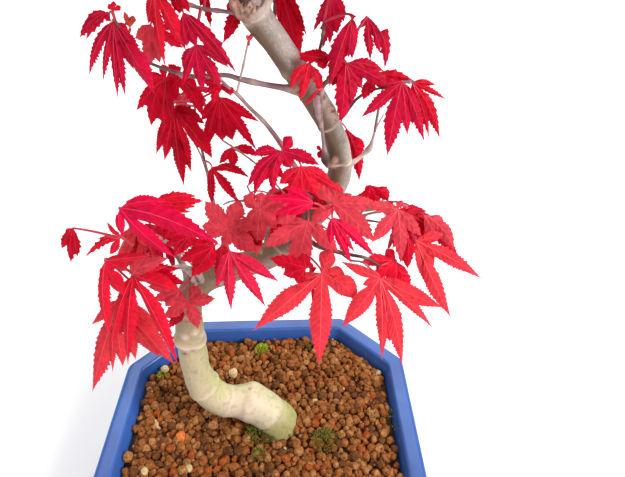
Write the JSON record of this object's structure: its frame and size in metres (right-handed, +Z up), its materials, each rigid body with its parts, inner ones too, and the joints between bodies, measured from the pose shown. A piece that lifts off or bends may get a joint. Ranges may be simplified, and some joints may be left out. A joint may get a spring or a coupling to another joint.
{
  "type": "potted japanese maple bonsai",
  "caption": "Bonsai maple with an S-shaped trunk and open tiers of crimson hand-shaped leaves, in a blue glazed pot with cut corners filled with granular soil.",
  "frame": {"origin": "middle of the pot's flat underside, on the surface that the pot stands on", "axes": "+X along the pot's length, to the right seen from the front; +Y from the front to the back; +Z up"},
  "size_m": [0.1949, 0.1659, 0.3717],
  "materials": {
    "glaze": "glossy blue glaze, paler where it thins over the rim",
    "granular_soil": "matt baked clay granules, brown to orange",
    "bark": "thin smooth bark, cream at the foot and grey-brown above, with ring scars",
    "leaves": "thin satin leaf blades, crimson to coral red"
  },
  "bodies": {
    "root": {"pot": "glaze", "soil": "granular_soil", "trunk_foot": "bark", "trunk_lower": "bark", "trunk_middle": "bark", "trunk_top": "bark", "trunk_upper": "bark", "bough_back_left": "bark", "bough_back_low": "bark", "bough_back_right": "bark", "bough_crown_back": "bark", "bough_crown_front": "bark", "bough_crown_left": "bark", "bough_crown_right": "bark", "bough_front_shoot": "bark", "bough_inner_front": "bark", "bough_left_back": "bark", "bough_left_front": "bark", "bough_left_low": "bark", "bough_middle_front": "bark", "bough_middle_rising": "bark", "bough_right": "bark", "bough_right_back": "bark", "bough_right_front": "bark", "bough_upper_back": "bark", "bough_upper_left": "bark", "bough_upper_right": "bark", "foliage_back_left": "leaves", "foliage_back_low": "leaves", "foliage_back_right": "leaves", "foliage_crown_back": "leaves", "foliage_crown_front": "leaves", "foliage_crown_left": "leaves", "foliage_crown_right": "leaves", "foliage_crown_top": "leaves", "foliage_inner_front": "leaves", "foliage_left_back": "leaves", "foliage_left_hanging": "leaves", "foliage_left_shoulder": "leaves", "foliage_middle_front": "leaves", "foliage_middle_top": "leaves", "foliage_right_back": "leaves", "foliage_right_front": "leaves", "foliage_right_outer": "leaves", "foliage_upper_back": "leaves", "foliage_upper_left": "leaves", "foliage_upper_left_tip": "leaves", "foliage_upper_right": "leaves", "foliage_upper_right_outer": "leaves"}
  },
  "joints": []
}
